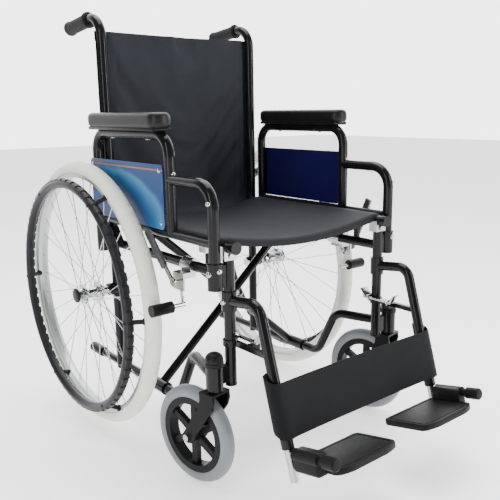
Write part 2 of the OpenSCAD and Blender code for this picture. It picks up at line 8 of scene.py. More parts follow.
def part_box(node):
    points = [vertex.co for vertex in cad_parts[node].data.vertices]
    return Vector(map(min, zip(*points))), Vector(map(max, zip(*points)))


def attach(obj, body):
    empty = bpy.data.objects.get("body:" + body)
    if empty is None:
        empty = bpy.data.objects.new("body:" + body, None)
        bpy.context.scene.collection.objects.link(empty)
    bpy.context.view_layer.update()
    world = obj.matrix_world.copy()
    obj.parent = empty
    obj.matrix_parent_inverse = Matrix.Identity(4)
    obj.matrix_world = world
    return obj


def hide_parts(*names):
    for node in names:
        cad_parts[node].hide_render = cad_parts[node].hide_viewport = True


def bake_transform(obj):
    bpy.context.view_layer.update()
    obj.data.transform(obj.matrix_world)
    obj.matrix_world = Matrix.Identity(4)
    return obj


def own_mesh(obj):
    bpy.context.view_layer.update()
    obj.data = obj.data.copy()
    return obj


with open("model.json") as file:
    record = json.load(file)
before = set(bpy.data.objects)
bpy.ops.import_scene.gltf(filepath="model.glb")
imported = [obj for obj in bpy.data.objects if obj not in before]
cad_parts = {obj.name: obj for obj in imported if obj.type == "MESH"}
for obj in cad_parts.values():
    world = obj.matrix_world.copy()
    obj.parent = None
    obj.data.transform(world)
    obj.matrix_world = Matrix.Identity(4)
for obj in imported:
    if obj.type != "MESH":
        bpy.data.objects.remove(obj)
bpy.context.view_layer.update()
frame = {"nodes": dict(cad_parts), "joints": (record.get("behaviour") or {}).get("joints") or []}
jointByName = {j["name"]: j for j in frame["joints"]}
sideNames = [("left", 1), ("right", -1)]  # +X is the sitter's left
print("frame loaded,", len(frame["nodes"]), "nodes")

# camera, low at the front right-hand corner
cameraDim = {"spot": (-0.912, -1.182, 0.720), "pan": -39.62, "tilt": 77.22, "roll": -0.74, "lens": 47.25,
             "shift": (-0.0237, 0.0148)}
camData = bpy.data.cameras.new("mainCamera")
camObj = bpy.data.objects.new("mainCamera", camData)
bpy.context.collection.objects.link(camObj)
camObj.location = cameraDim["spot"]
pan = Matrix.Rotation(math.radians(cameraDim["pan"]), 3, "Z")
tilt = Matrix.Rotation(math.radians(cameraDim["tilt"]), 3, "X")
roll = Matrix.Rotation(math.radians(cameraDim["roll"]), 3, "Z")
camObj.rotation_euler = (pan @ tilt @ roll).to_euler()
camData.lens = cameraDim["lens"]
camData.shift_x, camData.shift_y = cameraDim["shift"]
bpy.context.scene.camera = camObj


def finish(name, colour, second, rough, metal=0.0, grain=40.0, bump=0.05, spread=0.08, shine=0.5):
    # plain finish with tone drift, uneven gloss and a fine surface
    m = bpy.data.materials.new(name)
    m.use_nodes = True
    t = m.node_tree
    p = t.nodes["Principled BSDF"]
    p.inputs["Metallic"].default_value = metal
    p.inputs["Specular IOR Level"].default_value = shine
    where = t.nodes.new("ShaderNodeTexCoord")
    drift = t.nodes.new("ShaderNodeTexNoise")
    drift.inputs["Scale"].default_value = grain
    drift.inputs["Detail"].default_value = 4
    t.links.new(where.outputs["Object"], drift.inputs["Vector"])
    mix = t.nodes.new("ShaderNodeMix")
    mix.data_type = "RGBA"
    mix.inputs["A"].default_value = (*colour, 1)
    mix.inputs["B"].default_value = (*second, 1)
    t.links.new(drift.outputs["Fac"], mix.inputs["Factor"])
    t.links.new(mix.outputs["Result"], p.inputs["Base Color"])
    gloss = t.nodes.new("ShaderNodeMapRange")
    gloss.inputs["To Min"].default_value = max(0.02, rough - spread)
    gloss.inputs["To Max"].default_value = rough + spread
    t.links.new(drift.outputs["Fac"], gloss.inputs["Value"])
    t.links.new(gloss.outputs["Result"], p.inputs["Roughness"])
    fine = t.nodes.new("ShaderNodeTexNoise")
    fine.inputs["Scale"].default_value = grain * 12
    t.links.new(where.outputs["Object"], fine.inputs["Vector"])
    dent = t.nodes.new("ShaderNodeBump")
    dent.inputs["Strength"].default_value = bump
    dent.inputs["Distance"].default_value = 0.0004
    t.links.new(fine.outputs["Fac"], dent.inputs["Height"])
    t.links.new(dent.outputs["Normal"], p.inputs["Normal"])
    return m


weaveDim = {"thread": 0.0026, "rough": 0.72, "sheen": 0.03, "raise": 0.0006, "dark": 0.35}


def weave(name, colour, second, turnX=0.0):
    # plain woven nylon: threads both ways, a faint sheen and slight tone drift
    m = finish(name, colour, second, weaveDim["rough"], grain=22, spread=0.06, shine=0.15)
    t = m.node_tree
    p = t.nodes["Principled BSDF"]
    p.inputs["Sheen Weight"].default_value = weaveDim["sheen"]
    p.inputs["Sheen Roughness"].default_value = 0.5
    where = t.nodes.new("ShaderNodeTexCoord")
    lay = t.nodes.new("ShaderNodeMapping")
    lay.inputs["Rotation"].default_value = (turnX, 0, 0)
    t.links.new(where.outputs["Object"], lay.inputs["Vector"])
    warp = t.nodes.new("ShaderNodeTexWave")
    weft = t.nodes.new("ShaderNodeTexWave")
    warp.bands_direction, weft.bands_direction = "X", "Y"
    for w in (warp, weft):
        w.inputs["Scale"].default_value = math.pi / 10 / weaveDim["thread"]
        w.inputs["Distortion"].default_value = 0.6
        t.links.new(lay.outputs["Vector"], w.inputs["Vector"])
    cross = t.nodes.new("ShaderNodeMath")
    cross.operation = "MULTIPLY"
    t.links.new(warp.outputs["Fac"], cross.inputs[0])
    t.links.new(weft.outputs["Fac"], cross.inputs[1])
    dent = t.nodes["Bump"]
    dent.inputs["Strength"].default_value = 0.35
    dent.inputs["Distance"].default_value = weaveDim["raise"]
    t.links.new(cross.outputs["Value"], dent.inputs["Height"])
    shade = t.nodes.new("ShaderNodeMix")
    shade.data_type, shade.blend_type = "RGBA", "MULTIPLY"
    shade.inputs["Factor"].default_value = weaveDim["dark"]
    t.links.new(t.nodes["Mix"].outputs["Result"], shade.inputs["A"])
    t.links.new(cross.outputs["Value"], shade.inputs["B"])
    t.links.new(shade.outputs["Result"], p.inputs["Base Color"])
    return m


# the print's bands, from the arc's middle outwards: how far out (m) and the colour there
printDim = {"middle": (0, 0.063, 0.50), "flatten": 0.43, "lineAt": 0.606, "lineHalf": 0.0014,
            "lineColour": (0.26, 0.12, 0.04, 1),
            "bands": ((0.02, (0.005, 0.026, 0.095, 1)), (0.055, (0.010, 0.055, 0.16, 1)),
                      (0.066, (0.003, 0.022, 0.08, 1)), (0.088, (0.010, 0.075, 0.19, 1)),
                      (0.106, (0.035, 0.16, 0.30, 1)), (0.112, (0.003, 0.034, 0.13, 1)),
                      (0.20, (0.003, 0.032, 0.12, 1)))}


def printedPanel():
    # satin blue print: a pale arc over a deep blue field, with a thin orange line near the top
    m = bpy.data.materials.new("panelPrint")
    m.use_nodes = True
    t = m.node_tree
    p = t.nodes["Principled BSDF"]
    p.inputs["Roughness"].default_value = 0.3
    p.inputs["Specular IOR Level"].default_value = 0.2
    where = t.nodes.new("ShaderNodeTexCoord")
    place = t.nodes.new("ShaderNodeMapping")
    place.inputs["Location"].default_value = [-c for c in printDim["middle"]]
    place.inputs["Scale"].default_value = (0, printDim["flatten"], 1)
    t.links.new(where.outputs["Object"], place.inputs["Vector"])
    reach = t.nodes.new("ShaderNodeVectorMath")
    reach.operation = "LENGTH"
    t.links.new(place.outputs["Vector"], reach.inputs[0])
    cloud = t.nodes.new("ShaderNodeTexNoise")
    cloud.inputs["Scale"].default_value = 16
    t.links.new(where.outputs["Object"], cloud.inputs["Vector"])
    drift = t.nodes.new("ShaderNodeMath")
    drift.operation = "MULTIPLY_ADD"
    drift.inputs[1].default_value = 0.012
    t.links.new(cloud.outputs["Fac"], drift.inputs[0])
    t.links.new(reach.outputs["Value"], drift.inputs[2])
    ramp = t.nodes.new("ShaderNodeValToRGB")
    stops = ramp.color_ramp.elements
    bands = printDim["bands"]
    for stop, (at, tone) in ((stops[0], bands[0]), (stops[1], bands[-1])):
        stop.position, stop.color = at, tone
    for at, tone in bands[1:-1]:
        stops.new(at).color = tone
    t.links.new(drift.outputs["Value"], ramp.inputs["Fac"])
    split = t.nodes.new("ShaderNodeSeparateXYZ")
    t.links.new(where.outputs["Object"], split.inputs["Vector"])
    line = t.nodes.new("ShaderNodeMath")
    line.operation = "COMPARE"
    line.inputs[1].default_value = printDim["lineAt"]
    line.inputs[2].default_value = printDim["lineHalf"]
    t.links.new(split.outputs["Z"], line.inputs[0])
    mix = t.nodes.new("ShaderNodeMix")
    mix.data_type = "RGBA"
    mix.inputs["B"].default_value = printDim["lineColour"]
    t.links.new(line.outputs["Value"], mix.inputs["Factor"])
    t.links.new(ramp.outputs["Color"], mix.inputs["A"])
    t.links.new(mix.outputs["Result"], p.inputs["Base Color"])
    return m


# painted steel and bright metal
frameGloss = finish("frameGloss", (0.004, 0.004, 0.005), (0.010, 0.010, 0.011), 0.15,
                    grain=14, bump=0.04, spread=0.05, shine=0.17)
forkBlack = finish("forkBlack", (0.003, 0.003, 0.0035), (0.007, 0.007, 0.008), 0.3, grain=30, shine=0.08)
zincPlate = finish("zincPlate", (0.34, 0.34, 0.335), (0.48, 0.48, 0.475), 0.22,
                   metal=1.0, grain=70, bump=0.12)
hubChrome = finish("hubChrome", (0.46, 0.47, 0.48), (0.58, 0.59, 0.61), 0.14,
                   metal=1.0, grain=30, bump=0.04, spread=0.05)
bearingSteel = finish("bearingSteel", (0.40, 0.41, 0.43), (0.52, 0.53, 0.55), 0.24, metal=1.0, grain=120)
rimSilver = finish("rimSilver", (0.42, 0.43, 0.44), (0.55, 0.56, 0.57), 0.34, metal=0.75, grain=20, bump=0.06)
spokeSteel = finish("spokeSteel", (0.40, 0.41, 0.42), (0.50, 0.51, 0.52), 0.26, metal=1.0, grain=90)
# rubber and plastic
gripRubber = finish("gripRubber", (0.012, 0.012, 0.013), (0.03, 0.03, 0.031), 0.55,
                    grain=60, bump=0.25, shine=0.1)
capPlastic = finish("capPlastic", (0.006, 0.006, 0.0065), (0.013, 0.013, 0.0145), 0.36,
                    grain=50, bump=0.12, shine=0.1)
tyreWhite = finish("tyreWhite", (0.84, 0.84, 0.76), (0.74, 0.74, 0.66), 0.58, grain=26, bump=0.3)
handrimBlack = finish("handrimBlack", (0.010, 0.010, 0.012), (0.022, 0.022, 0.025), 0.34,
                      grain=34, bump=0.1, shine=0.12)
casterBlack = finish("casterBlack", (0.006, 0.006, 0.007), (0.013, 0.013, 0.014), 0.4,
                     grain=45, bump=0.1, shine=0.08)
casterGrey = finish("casterGrey", (0.185, 0.20, 0.21), (0.145, 0.16, 0.17), 0.5, grain=30, bump=0.2)
padSkin = finish("padSkin", (0.005, 0.005, 0.0055), (0.012, 0.0115, 0.0115), 0.38,
                 grain=70, bump=0.3, shine=0.16)
leverPlastic = finish("leverPlastic", (0.035, 0.037, 0.042), (0.055, 0.057, 0.063), 0.34, grain=50, bump=0.1)
plateBlack = finish("plateBlack", (0.005, 0.005, 0.0055), (0.011, 0.011, 0.012), 0.46,
                    grain=90, bump=0.3, shine=0.08)
panelNavy = finish("panelNavy", (0.006, 0.004, 0.060), (0.009, 0.006, 0.080), 0.4,
                   grain=12, bump=0.04, shine=0.3)
panelPrint = printedPanel()
# cloth; upright sheets have their pattern turned up with them
upright = math.radians(90)
seatWeave = weave("seatWeave", (0.010, 0.011, 0.0145), (0.018, 0.0195, 0.025))
backWeave = weave("backWeave", (0.017, 0.019, 0.025), (0.028, 0.031, 0.039), upright)
strapWeave = weave("strapWeave", (0.003, 0.0034, 0.0045), (0.006, 0.0067, 0.0085), upright)

finishOf = {
    "side_frame": frameGloss, "push_grip": gripRubber, "frame_caps": capPlastic, "rear_axle": zincPlate,
    "rail_saddle": zincPlate, "brake_clamp": zincPlate, "wheel_hub": hubChrome, "hub_bearings": bearingSteel,
    "rim": rimSilver, "spokes": spokeSteel, "tyre": tyreWhite, "handrim": handrimBlack,
    "caster_fork": forkBlack, "caster_axle": zincPlate, "caster_wheel": casterBlack,
    "caster_tyre": casterGrey, "armrest_tube": frameGloss, "armrest_pad": padSkin, "side_panel": panelNavy,
    "brake_lever": zincPlate, "brake_grip": leverPlastic, "brake_arm": zincPlate, "brake_roller": capPlastic,
    "hanger": frameGloss, "hanger_latch": zincPlate, "footrest_tube": zincPlate, "footplate": plateBlack,
    "cross_brace_a": frameGloss, "cross_brace_b": frameGloss, "brace_bolt": zincPlate,
    "seat_sling": seatWeave, "back_sling": backWeave, "calf_strap": strapWeave,
}
for nodeName, nodeObj in frame["nodes"].items():
    nodeObj.data.materials.clear()
    nodeObj.data.materials.append(finishOf[nodeName.removesuffix("_left").removesuffix("_right")])
print("finishes on all nodes")


def only(piece):
    if bpy.context.object and bpy.context.object.mode != "OBJECT":
        bpy.ops.object.mode_set(mode="OBJECT")
    bpy.ops.object.select_all(action="DESELECT")
    piece.select_set(True)
    bpy.context.view_layer.objects.active = piece


def settle(piece, name, material, body, angle=40):
    # named, transforms applied, smoothed, finished and riding on its body
    only(piece)
    piece.name = piece.data.name = name
    bpy.ops.object.transform_apply(location=True, rotation=True, scale=True)
    bpy.ops.object.mode_set(mode="EDIT")
    bpy.ops.mesh.select_all(action="SELECT")
    bpy.ops.mesh.normals_make_consistent(inside=False)
    bpy.ops.object.mode_set(mode="OBJECT")
    bpy.ops.object.shade_smooth_by_angle(angle=math.radians(angle))
    if material is not None:
        piece.data.materials.clear()
        piece.data.materials.append(material)
    if body:
        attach(piece, body)


def applyLast(piece, modifier):
    only(piece)
    bpy.ops.object.modifier_apply(modifier=modifier.name)


def rounded(piece, width, segments=3):
    edge = piece.modifiers.new("edge", "BEVEL")
    edge.width, edge.segments = width, segments
    edge.limit_method, edge.angle_limit = "ANGLE", math.radians(35)
    applyLast(piece, edge)


def cubeAt(low, high):
    low, high = Vector(low), Vector(high)
    bpy.ops.mesh.primitive_cube_add(size=1, location=(low + high) / 2)
    piece = bpy.context.object
    piece.scale = high - low
    bpy.ops.object.transform_apply(location=False, rotation=False, scale=True)
    return piece


def turned(start, direction, steps, sides=32):
    # a round piece pulled along a line, step by step: (how far along, radius)
    bpy.ops.mesh.primitive_circle_add(vertices=sides, radius=steps[0][1], fill_type="NGON")
    piece = bpy.context.object
    bpy.ops.object.mode_set(mode="EDIT")
    bpy.ops.mesh.select_all(action="SELECT")
    along, radius = steps[0]
    bpy.ops.transform.translate(value=(0, 0, along))
    for nextAlong, nextRadius in steps[1:]:
        bpy.ops.mesh.extrude_region_move(TRANSFORM_OT_translate={"value": (0, 0, nextAlong - along)})
        s = nextRadius / radius
        bpy.ops.transform.resize(value=(s, s, 1), center_override=(0, 0, nextAlong))
        along, radius = nextAlong, nextRadius
    bpy.ops.object.mode_set(mode="OBJECT")
    piece.rotation_euler = Vector(direction).to_track_quat("Z", "Y").to_euler()
    piece.location = start
    return piece


def screwHead(spot, way, radius=0.0045):
    # low pan head with its edge rounded over
    return turned(spot, way, [(0, radius), (0.001, radius), (0.0022, radius * 0.67), (0.0025, 0.001)], 16)


def collar(spot, radius):
    # raised ring round an upright tube
    mouth = radius - 0.001
    return turned(spot, (0, 0, 1), [(0, mouth), (0.0007, radius), (0.0031, radius), (0.0038, mouth)], 36)


def joined(first, *others):
    for o in (first, *others):
        only(o)
        bpy.ops.object.transform_apply(location=True, rotation=True, scale=True)
    only(first)
    for o in others:
        o.select_set(True)
    bpy.ops.object.join()
    return first


def pickEdges(piece, wanted):
    # in edit mode, picks the edges whose two ends pass the test
    bpy.ops.mesh.select_mode(type="EDGE")
    bpy.ops.mesh.select_all(action="DESELECT")
    shape = bmesh.from_edit_mesh(piece.data)
    for e in shape.edges:
        e.select_set(bool(wanted(e.verts[0].co, e.verts[1].co)))
    bmesh.update_edit_mesh(piece.data)


def pickFaces(piece, wanted):
    # in edit mode, picks the faces that pass the test
    bpy.ops.mesh.select_mode(type="FACE")
    bpy.ops.mesh.select_all(action="DESELECT")
    shape = bmesh.from_edit_mesh(piece.data)
    for f in shape.faces:
        f.select_set(bool(wanted(f)))
    bmesh.update_edit_mesh(piece.data)


def bounded(name):
    low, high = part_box(name)
    return Vector(low), Vector(high)


clothFineness = 1.0


def sheetOver(name, size, cells, spot, tilt):
    # level or tilted grid, to be draped
    columns, rows = (int(count * clothFineness) for count in cells)
    bpy.ops.mesh.primitive_grid_add(x_subdivisions=columns, y_subdivisions=rows, size=1,
                                    location=spot, rotation=(tilt, 0, 0))
    piece = bpy.context.object
    piece.name = name
    piece.scale = (*size, 1)
    bpy.ops.object.transform_apply(location=True, rotation=True, scale=True)
    return piece


def crumple(piece, dim):
    # slight unevenness, drawn out along the cloth, for the folds to start from
    noise = bpy.data.textures.new(piece.name + "Ruffle", "CLOUDS")
    noise.noise_scale = dim["grain"]
    guide = bpy.data.objects.new(piece.name + "Guide", None)
    guide.scale = (1, 3, 3.5)
    bpy.context.collection.objects.link(guide)
    push = piece.modifiers.new("ruffle", "DISPLACE")
    push.texture, push.strength = noise, dim["ruffle"]
    push.texture_coords, push.texture_coords_object = "OBJECT", guide
    applyLast(piece, push)
    bpy.data.objects.remove(guide)


def sag(piece, dim):
    # lets the cloth settle between its two held strips
    crumple(piece, dim)
    group = piece.vertex_groups.new(name="held")
    group.add([v.index for v in piece.data.vertices if abs(v.co.x) > dim["held"]], 1.0, "REPLACE")
    cloth = piece.modifiers.new("cloth", "CLOTH")
    cs = cloth.settings
    cs.quality, cs.mass = 6, 0.25
    cs.tension_stiffness = cs.compression_stiffness = 22
    cs.shear_stiffness, cs.bending_stiffness = 8, 0.6
    cs.vertex_group_mass, cs.shrink_min = "held", -dim["slack"]
    cs.effector_weights.gravity = dim["gravity"]
    cloth.collision_settings.use_collision = False
    cloth.point_cache.frame_start, cloth.point_cache.frame_end = 1, dim["frames"]
    for f in range(1, dim["frames"] + 1):
        bpy.context.scene.frame_set(f)
    applyLast(piece, cloth)
    bpy.context.scene.frame_set(1)


def wrapEdge(piece, test, moves):
    # pulls the picked border of a cloth round what it hangs on
    only(piece)
    bpy.ops.object.mode_set(mode="EDIT")
    bpy.ops.mesh.select_mode(type="EDGE")
    bpy.ops.mesh.select_all(action="DESELECT")
    shape = bmesh.from_edit_mesh(piece.data)
    for e in shape.edges:
        e.select_set(e.is_boundary and all(test(v.co) for v in e.verts))
    bmesh.update_edit_mesh(piece.data)
    for move in moves:
        bpy.ops.mesh.extrude_edges_move(TRANSFORM_OT_translate={"value": move})
    bpy.ops.object.mode_set(mode="OBJECT")


def wrapSides(piece, dim):
    # both side borders, with the same moves turned over for the other side
    edge = dim["size"][0] / 2 - 0.0005
    for s in (1, -1):
        wrapEdge(piece, lambda c, s=s: s * c.x > edge, [(s * x, y, z) for x, y, z in dim["wrap"]])


def thicken(piece, thickness):
    wall = piece.modifiers.new("wall", "SOLIDIFY")
    wall.thickness, wall.offset = thickness, 0
    applyLast(piece, wall)


seatLow, seatHigh = bounded("seat_sling")
seatMid = (seatLow + seatHigh) / 2
seatDim = {"size": (0.430, seatHigh.y - seatLow.y), "cells": (80, 78), "lift": 0.003, "wall": 0.0018,
           "held": 0.194, "slack": 0.0006, "frames": 22, "gravity": 0.3, "ruffle": 0.003, "grain": 0.09,
           "wrap": [(0.004, 0, -0.003), (0.003, 0, -0.006), (0.0005, 0, -0.007), (-0.003, 0, -0.006)],
           "hem": [(0, -0.003, -0.003), (0, -0.001, -0.005), (0, 0.001, -0.006)],
           "railX": 0.205, "railZ": 0.48, "cut": (0.481, 0.430)}


def seatCloth():
    # sags a little between the rails, with the front hem turned down
    piece = sheetOver("seatCloth", seatDim["size"], seatDim["cells"],
                      (0, seatMid.y, seatLow.z + seatDim["lift"]), 0)
    sag(piece, seatDim)
    wrapSides(piece, seatDim)
    wrapEdge(piece, lambda c: c.y < seatLow.y + 0.001, seatDim["hem"])
    thicken(piece, seatDim["wall"])
    settle(piece, "seatCloth", seatWeave, None, 60)
    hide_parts("seat_sling")
    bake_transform(piece)


backLow = bounded("back_sling")[0]
backDim = {"size": (0.430, 0.437), "cells": (84, 76), "lift": 0.0015, "wall": 0.0018, "held": 0.186,
           "slack": 0.010, "frames": 22, "gravity": 0.03, "ruffle": 0.008, "grain": 0.10,
           "wrap": [(0.004, -0.003, 0), (0.0025, -0.006, 0)], "seam": (0.174, 0.194), "seamRaise": 0.0028,
           "bendFrom": 0.872, "bendBack": 0.0034, "postX": 0.209, "cut": (0.453, 0.437)}


def backCloth():
    # hangs behind the posts, with a doubled seam beside each of them
    piece = sheetOver("backCloth", backDim["size"], backDim["cells"],
                      (0, backLow.y + backDim["lift"], backLow.z + backDim["size"][1] / 2), upright)
    sag(piece, backDim)
    only(piece)
    bpy.ops.object.mode_set(mode="EDIT")
    inner, outer = backDim["seam"]
    pickFaces(piece, lambda f: inner < abs(f.calc_center_median().x) < outer)
    bpy.ops.transform.translate(value=(0, -backDim["seamRaise"], 0))
    pickFaces(piece, lambda f: abs(f.calc_center_median().x) > outer
              and f.calc_center_median().z > backDim["bendFrom"])
    bpy.ops.transform.translate(value=(0, backDim["bendBack"], 0))
    bpy.ops.object.mode_set(mode="OBJECT")
    wrapSides(piece, backDim)
    thicken(piece, backDim["wall"])
    settle(piece, "backCloth", backWeave, "frame_right", 60)
    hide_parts("back_sling")
    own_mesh(piece)


calfLow, calfHigh = bounded("calf_strap")
calfMid = (calfLow + calfHigh) / 2
calfLean = math.atan2(74.5, 247)  # the hangers' own slope
calfDim = {"size": (0.424, 0.100), "cells": (84, 20), "wall": 0.0026, "held": 0.200, "slack": 0.0008,
           "frames": 16, "gravity": 0.15, "ruffle": 0.0018, "grain": 0.15,
           "wrap": [(0.007, 0.002, 0.0006), (0.005, 0.008, 0.0024), (0.001, 0.010, 0.003),
                    (-0.004, 0.009, 0.0027), (-0.010, 0.004, 0.0012), (-0.006, 0, 0)],
           "tubeX": 0.207, "keep": 96 / 414, "cut": (0.533, 0.100)}


def calfCloth():
    # taut band across both hangers, wrapped round each
    piece = sheetOver("calfCloth", calfDim["size"], calfDim["cells"], calfMid, upright - calfLean)
    sag(piece, calfDim)
    wrapSides(piece, calfDim)
    thicken(piece, calfDim["wall"])
    settle(piece, "calfCloth", strapWeave, "footrest_hanger_right", 60)
    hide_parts("calf_strap")
    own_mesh(piece)


seatCloth()
backCloth()
calfCloth()
print("cloths done")

padDim = {"inset": 0.001, "lift": 0.003, "baseEdge": (0.004, 0.010), "baseZ": (-0.001, 0.006),
          "corner": 0.023, "crown": 0.0195, "under": 0.009, "voxel": 0.0025, "ease": 14,
          "fill": 0.8, "screwX": 0.240, "screwZ": 0.6635, "screwIn": 0.075}


def armPad(name):
    # firm foam with a crowned top and soft corners
    low, high = bounded("armrest_pad_" + name)
    skirt = Vector((padDim["inset"], padDim["inset"], 0))
    pad = cubeAt(low + skirt + Vector((0, 0, padDim["lift"])), high - skirt)
    bpy.ops.object.mode_set(mode="EDIT")
    pickEdges(pad, lambda a, b: abs((a - b).normalized().z) > 0.9)
    bpy.ops.mesh.bevel(offset=padDim["corner"], segments=6)
    pickEdges(pad, lambda a, b: min(a.z, b.z) > high.z - 0.001)
    bpy.ops.mesh.bevel(offset=padDim["crown"], segments=8)
    pickEdges(pad, lambda a, b: max(a.z, b.z) < low.z + padDim["lift"] + 0.001)
    bpy.ops.mesh.bevel(offset=padDim["under"], segments=4)
    bpy.ops.object.mode_set(mode="OBJECT")
    skin = pad.modifiers.new("skin", "REMESH")
    skin.mode, skin.voxel_size = "VOXEL", padDim["voxel"]
    applyLast(pad, skin)
    ease = pad.modifiers.new("ease", "SMOOTH")
    ease.factor, ease.iterations = 0.5, padDim["ease"]
    applyLast(pad, ease)
    settle(pad, "armPad" + name.title(), padSkin, "armrest_" + name, 180)
    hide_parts("armrest_pad_" + name)


def padBase(name, s):
    # plate the pad is moulded on, and the two screws under the top tube
    low, high = bounded("armrest_pad_" + name)
    edgeX, edgeY = padDim["baseEdge"]
    bottom, top = (low.z + z for z in padDim["baseZ"])
    base = cubeAt((low.x + edgeX, low.y + edgeY, bottom), (high.x - edgeX, high.y - edgeY, top))
    rounded(base, 0.003)
    settle(base, "padBase" + name.title(), capPlastic, "armrest_" + name)
    for i, y in enumerate((low.y + padDim["screwIn"], high.y - padDim["screwIn"])):
        screw = screwHead((s * padDim["screwX"], y, padDim["screwZ"]), (0, 0, -1))
        settle(screw, f"padScrew{name.title()}{i}", zincPlate, "armrest_" + name)


for name, s in sideNames:
    armPad(name)
    padBase(name, s)
print("arm pads done")

gripDim = {"knee": (0.209, 0.213, 0.926), "slope": (0, 0.159, -0.016), "ringsFrom": 0.066, "ringsTo": 0.146,
           "ringStep": 0.0085, "ridge": 0.0152, "groove": 0.0137,
           "collar": [(0.056, 0.0112), (0.056, 0.0165), (0.0575, 0.018), (0.0598, 0.018), (0.0612, 0.0152)],
           "end": [(0.1515, 0.0154), (0.153, 0.0168), (0.157, 0.0168), (0.1592, 0.0145), (0.1596, 0.006)]}


def pushGrip(name, s):
    # moulded grip: a collar, rings to hold by, and a swelling at the end
    steps = list(gripDim["collar"])
    ridge, groove = gripDim["ridge"], gripDim["groove"]
    at = gripDim["ringsFrom"]
    while at < gripDim["ringsTo"]:
        steps += [(at, ridge), (at + 0.0012, groove), (at + 0.0028, groove), (at + 0.004, ridge)]
        at += gripDim["ringStep"]
    steps += gripDim["end"]
    x, y, z = gripDim["knee"]
    grip = turned((s * x, y, z), Vector(gripDim["slope"]).normalized(), steps, 40)
    settle(grip, "pushGrip" + name.title(), gripRubber, "frame_" + name)
    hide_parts("push_grip_" + name)


for name, s in sideNames:
    pushGrip(name, s)
print("grips done")

wheelDim = {"axleY": 0.213, "axleZ": 0.305, "trackX": 0.280, "tyreMid": 0.288, "tyreRound": 0.017,
            "tyreParts": 240, "treadFrom": 0.2925, "rimSeat": 0.2825,
            "cap": [(0, 0.0155), (0.0035, 0.017), (0.0055, 0.016), (0.0068, 0.012), (0.0074, 0.005)]}
handrimDim = {"x": 0.321, "mid": 0.258, "round": 0.0098, "parts": 256, "bump": 0.0022, "posts": 6,
              "postFootX": 0.2905, "postFootAt": 0.2745, "postHeadAt": 0.2575, "boltOut": 0.0088}


def handrimPosts(s, centre):
    # six standoffs from the rim, each with the bolt that comes through the ring
    posts = []
    for k in range(handrimDim["posts"]):
        a = math.radians(30 + 360 / handrimDim["posts"] * k)
        out = Vector((0, -math.sin(a), math.cos(a)))
        foot = Vector((s * handrimDim["postFootX"], wheelDim["axleY"], wheelDim["axleZ"]))
        foot += out * handrimDim["postFootAt"]
        head = centre + out * handrimDim["postHeadAt"]
        way = head - foot
        flare = [(0, 0.0075), (0.004, 0.0075), (0.006, 0.0052), (way.length, 0.0052)]
        posts.append(turned(foot, way, flare, 20))
        boltAt = centre + out * handrimDim["mid"] + Vector((s * handrimDim["boltOut"], 0, 0))
        posts.append(turned(boltAt, (s, 0, 0), [(0, 0.004), (0.0016, 0.004), (0.0026, 0.0022)], 12))
    return posts


def handrim(name, s):
    # ring with finger bumps on its outer and tyre side
    centre = Vector((s * handrimDim["x"], wheelDim["axleY"], wheelDim["axleZ"]))
    bpy.ops.mesh.primitive_torus_add(major_segments=handrimDim["parts"], minor_segments=16,
                                     major_radius=handrimDim["mid"], minor_radius=handrimDim["round"],
                                     location=centre, rotation=(0, upright, 0))
    ring = bpy.context.object
    bpy.ops.object.transform_apply(location=False, rotation=True, scale=True)
    bpy.ops.object.mode_set(mode="EDIT")

    def onBump(f):
        c = f.calc_center_median()
        part = int(math.degrees(math.atan2(c.z, c.y)) % 360 * handrimDim["parts"] / 360)
        outward = (f.normal.y * c.y + f.normal.z * c.z) / math.hypot(c.y, c.z)
        return part % 4 < 3 and 0.75 * outward - 0.65 * s * f.normal.x > 0.12

    pickFaces(ring, onBump)
    bpy.ops.mesh.inset(thickness=0.0016, depth=handrimDim["bump"])
    bpy.ops.object.mode_set(mode="OBJECT")
    ring = joined(ring, *handrimPosts(s, centre))
    settle(ring, "handrim" + name.title(), handrimBlack, "rear_wheel_" + name, 45)
    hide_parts("handrim_" + name)


def tyre(name, s):
    # round tyre with a moulded tread, cut open and closed again where the rim holds it
    bpy.ops.mesh.primitive_torus_add(major_segments=wheelDim["tyreParts"], minor_segments=32,
                                     major_radius=wheelDim["tyreMid"], minor_radius=wheelDim["tyreRound"],
                                     location=(s * wheelDim["trackX"], wheelDim["axleY"], wheelDim["axleZ"]),
                                     rotation=(0, upright, 0))
    piece = bpy.context.object
    bpy.ops.object.transform_apply(location=False, rotation=True, scale=True)
    bpy.ops.object.mode_set(mode="EDIT")

    def outFrom(f):
        c = f.calc_center_median()
        return math.hypot(c.y, c.z)

    def onTread(f):
        c = f.calc_center_median()
        part = int((math.degrees(math.atan2(c.z, c.y)) % 360) * wheelDim["tyreParts"] / 360)
        across = abs(c.x)
        if outFrom(f) < wheelDim["treadFrom"] or across < 0.0015:
            return False
        return part % 2 == 0 if across > 0.0085 else part % 3 != 0

    pickFaces(piece, onTread)
    bpy.ops.mesh.inset(thickness=0.0006, depth=-0.0005, use_individual=True)
    pickFaces(piece, lambda f: outFrom(f) < wheelDim["rimSeat"])
    bpy.ops.mesh.delete(type="FACE")
    bpy.ops.mesh.select_all(action="DESELECT")
    bpy.ops.mesh.select_mode(type="EDGE")
    bpy.ops.mesh.select_non_manifold()
    bpy.ops.mesh.bridge_edge_loops()
    bpy.ops.object.mode_set(mode="OBJECT")
    settle(piece, "tyre" + name.title(), tyreWhite, "rear_wheel_" + name, 35)
    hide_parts("tyre_" + name)


def hubCap(name, s):
    # dust cap pressed on the outer end of the hub
    low, high = bounded("wheel_hub_" + name)
    hubEnd = high.x if s > 0 else low.x
    cap = turned((hubEnd - s * 0.003, wheelDim["axleY"], wheelDim["axleZ"]), (s, 0, 0), wheelDim["cap"], 36)
    settle(cap, "hubCap" + name.title(), capPlastic, "rear_wheel_" + name)


